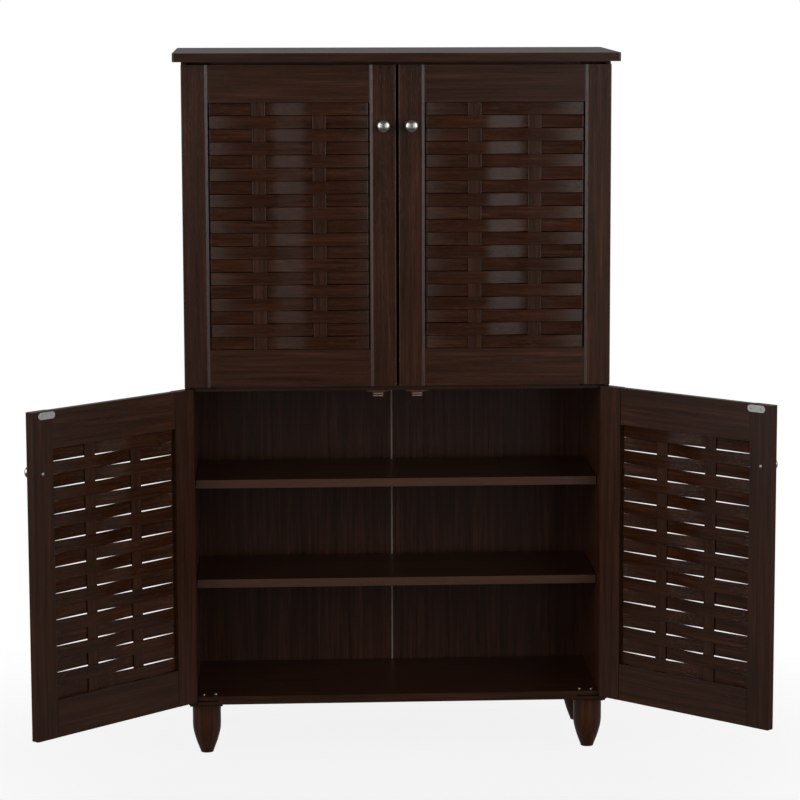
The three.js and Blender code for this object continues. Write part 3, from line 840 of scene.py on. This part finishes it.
def add_catch(tier, side, plastic, steel, head):
    """A brown housing with tapered screw ears, holding a magnet between two pole plates."""
    node = f"magnetic_catch_{tier}_{side}"
    low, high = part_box(node)
    centre = (low + high) / 2
    size = high - low
    bm = bmesh.new()
    prism(bm, catch_outline(size.x / 2, size.z), size.y)
    upright_from_front = Matrix.Rotation(math.pi / 2, 4, "X") @ Matrix.Scale(-1, 4, (0, 0, 1))
    mesh = mesh_from("housing", bm, Matrix.Translation((centre.x, low.y, high.z)) @ upright_from_front)
    housing = show(f"catch_housing_{tier}_{side}", mesh, plastic, "root", [node])
    soften(housing, 0.5 * MM)
    add_poles(f"catch_poles_{tier}_{side}", centre.x, low.y, high.z, steel)
    for n, offset in enumerate((-1, 1), 1):
        spot = (centre.x + offset * CATCH_SCREW_SPREAD, centre.y, high.z - CATCH_SCREW_DROP)
        seat = Matrix.Translation(spot) @ facing((0, 0, -1))
        add_screw(f"catch_screw_{tier}_{side}_{n}", head, steel, seat)


def leg_mesh(top):
    """A turned bullet leg: straight, then drawn in to a small flat tip with a rounded rim."""
    tip = [(0, 0), (10.6 * MM, 0), (11.2 * MM, 0.4 * MM)]
    taper = [
        (11.4 * MM, 1.2 * MM),
        (12.4 * MM, 4.2 * MM),
        (14.3 * MM, 9.1 * MM),
        (18.4 * MM, 20.0 * MM),
        (21.6 * MM, 30.9 * MM),
        (23.6 * MM, 39.0 * MM),
        (24.6 * MM, 46.0 * MM),
        (LEG_RADIUS, LEG_STRAIGHT_FROM),
    ]
    bm = bmesh.new()
    turned(bm, tip + smooth_profile(taper) + [(LEG_RADIUS, top), (0, top)], 72)
    return mesh_from("leg", bm)


def add_leg(row, side, wood, steel, head):
    """A turned leg under its square plate, with a screw in each corner of the plate."""
    node = f"leg_{row}_{side}"
    low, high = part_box(node)
    centre = (low + high) / 2
    shoulder = high.z - LEG_PLATE
    mesh = leg_mesh(shoulder)
    mesh.transform(Matrix.Translation((centre.x, centre.y, 0)))
    show(f"turned_leg_{row}_{side}", mesh, wood, "root", [node])
    bm = bmesh.new()
    slab(bm, (low.x, low.y, shoulder), high, 0.8 * MM)
    mesh = mesh_from("plate", bm)
    show(f"leg_plate_{row}_{side}", mesh, wood, "root", smooth_angle=80, even=True)
    reach = (high.x - low.x) / 2 - LEG_SCREW_INSET
    corners = [(x, y) for x in (-reach, reach) for y in (-reach, reach)]
    for n, (x, y) in enumerate(corners, 1):
        seat = Matrix.Translation((centre.x + x, centre.y + y, shoulder)) @ facing((0, 0, -1))
        add_screw(f"leg_screw_{row}_{side}_{n}", head, steel, seat, LEG_SCREW_SIZE)


def pin_mesh(matrix):
    """A shelf pin with a collar, lying along +Z from the face of the side panel."""
    collar_start, collar_end = PIN_COLLAR
    profile = [
        (0, -PIN_SUNK),
        (PIN_RADIUS, -PIN_SUNK),
        (PIN_RADIUS, collar_start),
        (PIN_COLLAR_RADIUS, collar_start),
        (PIN_COLLAR_RADIUS, collar_end),
        (PIN_RADIUS, collar_end),
        (PIN_RADIUS, PIN_CHAMFER),
        (0.8 * PIN_RADIUS, PIN_LENGTH),
        (0, PIN_LENGTH),
    ]
    bm = bmesh.new()
    turned(bm, profile, 24)
    return mesh_from("pin", bm, matrix)


def add_shelf_pins(shelf, steel):
    """Four steel pins under a shelf, in holes in the side panels."""
    low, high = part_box(shelf)
    z = low.z - PIN_RADIUS - FIT
    for side, x, way in (("left", low.x, 1), ("right", high.x, -1)):
        for place, y in (("front", low.y + PIN_INSET), ("rear", high.y - PIN_INSET)):
            seat = Matrix.Translation((x - way * SHELF_END_GAP, y, z)) @ facing((way, 0, 0))
            show(f"{shelf}_pin_{place}_{side}", pin_mesh(seat), steel, "root")


def add_hinge_screws(side, way, steel, head):
    """Screws that hold a bottom hinge plate to the bottom board. Its outer end lies that way."""
    low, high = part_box(f"pivot_plate_bottom_{side}")
    outer = high.x if way > 0 else low.x
    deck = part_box("bottom_board")[1].z
    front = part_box("bottom_board")[0].y
    for n, (inward, back) in enumerate(HINGE_SCREWS, 1):
        seat = Matrix.Translation((outer - way * inward, front + back, deck))
        add_screw(f"hinge_screw_bottom_{side}_{n}", head, steel, seat, HINGE_SCREW_SIZE)


# The whole cabinet -----------------------------------------------------------------

def dress_boards(upright):
    """Top, sides, decks and back, each in its veneer or its foil."""
    level = wenge("veneer_level", "across")
    foil_level = wenge("foil_level", "across", tone=0.9, rough=0.32)
    foil_upright = wenge("foil_upright", tone=0.9, rough=0.32)
    joint_plastic = moulded_plastic("joint_strip_plastic", (138, 120, 110), (160, 140, 129))
    dress("top_board", level, 1.2 * MM, 3)
    for node in ("middle_board", "bottom_board", "top_stretcher"):
        dress(node, foil_level, 0.7 * MM)
    for side in SIDES:
        dress(f"side_panel_{side}", upright, 0.7 * MM)
        dress(f"back_panel_{side}", foil_upright, 0.3 * MM)
    dress("back_joint_strip", joint_plastic, 0.2 * MM)


def add_tiers(steel, head):
    """In each tier, two shelves on their pins and two catches."""
    # The shelves' front edges get an edge band with a painted highlight.
    foil = wenge("shelf_foil", "across", tone=0.85, rough=0.32, banded_and_lit=True)
    plastic = moulded_plastic("brown_plastic", (74, 38, 27), (104, 60, 45))
    for tier in TIERS:
        for step in (1, 2):
            dress(f"shelf_{tier}_{step}", foil, 0.8 * MM)
            add_shelf_pins(f"shelf_{tier}_{step}", steel)
        for side in SIDES:
            add_catch(tier, side, plastic, steel, head)


def add_legs(steel, head):
    wood = wenge("turned_leg_wood", tone=1.15, rough=0.3)
    for row in ("front", "rear"):
        for side in SIDES:
            add_leg(row, side, wood, steel, head)


def dress_hinge_plates(steel, head):
    """Plates that the doors' pins stand in, in a steel darkened as painted shade of the slots they sit in.
    Only the bottom ones show their screws.
    """
    # Darkened steel: painted shade of the slots round the plates.
    slot_shade_steel = sheet_steel("bronzed_steel", (58, 48, 40), (84, 70, 58), 0.4)
    for side, way in (("left", -1), ("right", 1)):
        for place in ("top", "middle", "bottom"):
            dress(f"pivot_plate_{place}_{side}", slot_shade_steel, 0.2 * MM)
        add_hinge_screws(side, way, steel, head)


def door_finishes(door):
    """Veneers of rails, slats and battens, whose grain turns with a door that stands open."""
    return (
        wenge(f"rail_veneer_{door.tag}", "across", -door.spin),
        wenge(f"slat_veneer_{door.tag}", "across", -door.spin, strips=True, rough=0.19),
        wenge(f"batten_veneer_{door.tag}", strips=True, rough=0.26),
    )


def add_door(door, stile_finish, finishes, nickel, steel, head):
    """A frame of stiles and rails round a woven panel, with its knob and its strike plate."""
    rail_finish, slat_finish, batten_finish = finishes
    for kind in ("stile_hinge", "stile_free"):
        dress(f"{kind}_{door.tag}", stile_finish, 0.9 * MM, 3, angle=15)
    for kind in ("rail_top", "rail_bottom"):
        dress(f"{kind}_{door.tag}", rail_finish, 0.9 * MM, 3)
    add_woven_panel(door, slat_finish, batten_finish)
    add_knob(door, nickel, steel, head)
    add_strike(door, steel, head)


def add_cabinet():
    """Every piece. Doors that stand at the same angle share their veneers."""
    steel = sheet_steel("plated_steel", (190, 190, 187), (226, 226, 222), 0.36)
    nickel = polished_nickel("polished_nickel")
    head = screw_head(SCREW_RADIUS, SCREW_HEIGHT)
    upright = wenge("veneer_upright")
    dress_boards(upright)
    add_tiers(steel, head)
    add_legs(steel, head)
    dress_hinge_plates(steel, head)
    finishes = {}
    for joint in frame["joints"]:
        door = Door(joint)
        angle = round(door.spin, 3)
        if angle not in finishes:
            finishes[angle] = door_finishes(door)
        add_door(door, upright, finishes[angle], nickel, steel, head)


# Stage ----------------------------------------------------------------------------

def add_floor():
    """A pale floor that fades into the background."""
    bm = bmesh.new()
    bmesh.ops.create_circle(bm, cap_ends=True, radius=FLOOR_RADIUS, segments=96)
    mesh = mesh_from("floor", bm)
    floor = placed("floor", mesh)
    floor.location.z = -0.2 * MM
    paint = Paint(bpy.data.materials.new("pale_floor"))
    place = paint.add("ShaderNodeTexCoord", output="Object")
    far = paint.add("ShaderNodeVectorMath", {"operation": "LENGTH"}, {0: place}, output="Value")
    matt = paint.add("ShaderNodeBsdfDiffuse", {}, {"Color": (0.93, 0.93, 0.93, 1)})
    clear = paint.add("ShaderNodeBsdfTransparent")
    clearness = 1 - (1 - far.stretched(*FLOOR_FADE)) * FLOOR_STRENGTH
    blend = paint.add("ShaderNodeMixShader", {}, {0: clearness, 1: matt, 2: clear})
    paint.add("ShaderNodeOutputMaterial", {}, {"Surface": blend})
    mesh.materials.append(paint.owner)


def add_surroundings():
    """White behind the object for the eye, a dim grey room for the light."""
    world = bpy.data.worlds.new("room")
    bpy.context.scene.world = world
    paint = Paint(world)
    around = paint.add("ShaderNodeTexCoord", output="Generated")
    toward_back = paint.add("ShaderNodeSeparateXYZ", {}, {0: around}, output="Y")
    stops = [(position, (level, level, level, 1)) for position, level in ROOM_GLOW]
    glow = paint.add("ShaderNodeValToRGB", {"stops": stops}, {"Fac": toward_back * 0.5 + 0.5})
    room = paint.add("ShaderNodeBackground", {}, {"Color": glow})
    white = paint.add("ShaderNodeBackground", {}, {"Color": (1, 1, 1, 1)})
    to_the_eye = paint.add("ShaderNodeLightPath", output="Is Camera Ray")
    blend = paint.add("ShaderNodeMixShader", {}, {0: to_the_eye, 1: room, 2: white})
    paint.add("ShaderNodeOutputWorld", {}, {"Surface": blend})


def add_lights():
    """Two tall softboxes at the sides, and two weaker ones nearer the front."""
    side = {"distance": 4.5, "height": 1.8, "width": 3.0, "tall": 3.2}
    front = {"distance": 4.9, "height": 1.3, "width": 1.5, "tall": 2.6}
    add_softbox("softbox_left", bearing=-55, radiance=2.5, **side)
    add_softbox("softbox_right", bearing=55, radiance=2.4, **side)
    add_softbox("fill_left", bearing=-19, radiance=0.85, **front)
    add_softbox("fill_right", bearing=22, radiance=1.2, **front)


add_camera()
add_cabinet()
add_floor()
add_surroundings()
add_lights()
bpy.context.scene.view_settings.view_transform = "Standard"
